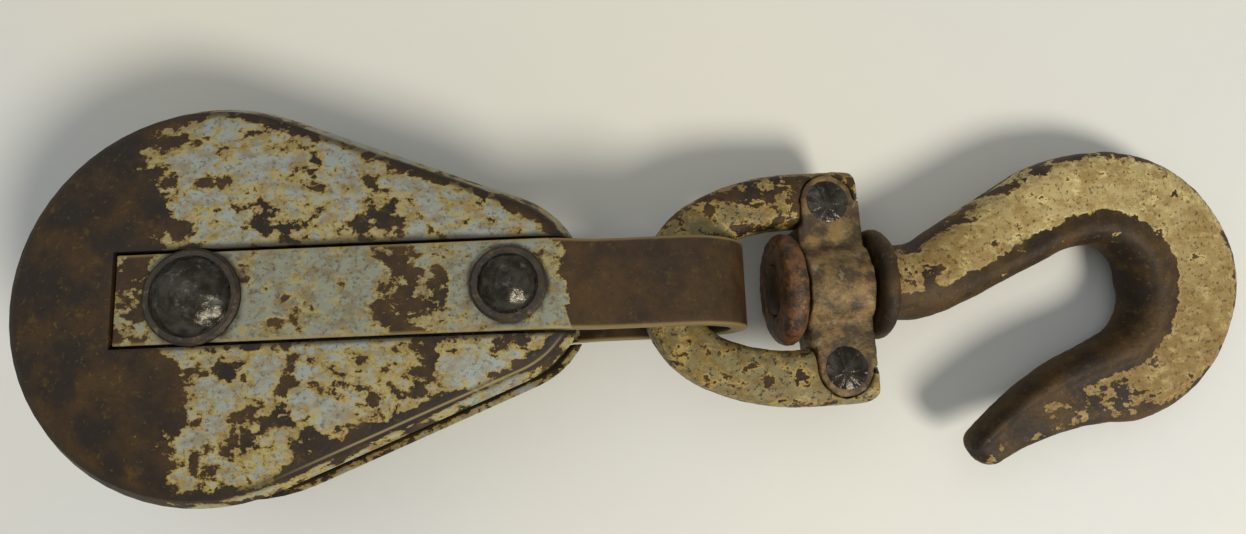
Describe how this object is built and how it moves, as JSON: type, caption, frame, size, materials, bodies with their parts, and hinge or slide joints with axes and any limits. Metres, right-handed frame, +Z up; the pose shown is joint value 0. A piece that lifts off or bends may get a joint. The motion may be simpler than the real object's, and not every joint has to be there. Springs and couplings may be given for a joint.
{
  "type": "double pulley block",
  "caption": "Double pulley block: two grooved sheaves in a teardrop steel shell, with a riveted strap, a loose shackle and a swivel hook.",
  "frame": {"origin": "the middle of the sheave pin, halfway between the two sheaves", "axes": "+X along the strap to the hook, +Z up from the surface that the object lies on"},
  "size_m": [0.4669, 0.1486, 0.0774],
  "materials": {
    "cheek_paint": "chipped, weathered gloss paint over rust",
    "strap_paint": "chipped, weathered paint over rust",
    "plate_paint": "stained paint over rust",
    "rivet_steel": "dark, hammered and worn",
    "washer_steel": "worn paint over rust",
    "spacer_steel": "dark and rusty",
    "sheave_iron": "dark, rusty, bright in the groove",
    "bush_brass": "dull",
    "shackle_paint": "rough casting, worn paint",
    "crossbar_iron": "rough, worn paint over rust",
    "hook_paint": "speckled worn paint over forged steel",
    "nut_steel": "rusty"
  },
  "bodies": {
    "block": {"front_cheek": "cheek_paint", "rear_cheek": "cheek_paint", "centre_plate": "plate_paint", "strap": "strap_paint", "sheave_pin": "rivet_steel", "tip_rivet": "rivet_steel", "front_pin_washer": "washer_steel", "rear_pin_washer": "washer_steel", "front_rivet_washer": "washer_steel", "rear_rivet_washer": "washer_steel", "front_spacer": "spacer_steel", "rear_spacer": "spacer_steel"},
    "front_wheel": {"front_sheave": "sheave_iron", "front_bush": "bush_brass"},
    "rear_wheel": {"rear_sheave": "sheave_iron", "rear_bush": "bush_brass"},
    "shackle": {"shackle_bow": "shackle_paint", "shackle_crossbar": "crossbar_iron", "left_crossbar_pin": "rivet_steel", "right_crossbar_pin": "rivet_steel"},
    "swivel_hook": {"hook": "hook_paint", "shank_nut": "nut_steel"}
  },
  "joints": [
    {"name": "front_sheave_spin", "type": "hinge", "parent": "block", "child": "front_wheel", "pos_m": [0, 0, 0], "axis": [0, 0.1788, 0.9839], "continuous": true},
    {"name": "rear_sheave_spin", "type": "hinge", "parent": "block", "child": "rear_wheel", "pos_m": [0, 0, 0], "axis": [0, 0.1788, 0.9839], "continuous": true},
    {"name": "shackle_tilt", "type": "hinge", "parent": "block", "child": "shackle", "pos_m": [0.17, -0.0024, 0], "axis": [-0.0349, 0.9835, -0.1775], "range_deg": [-118, 105]},
    {"name": "hook_swivel", "type": "hinge", "parent": "shackle", "child": "swivel_hook", "pos_m": [0.24245, -0.00133, -0.00912], "axis": [0.9929, 0.0139, -0.1184], "continuous": true}
  ]
}
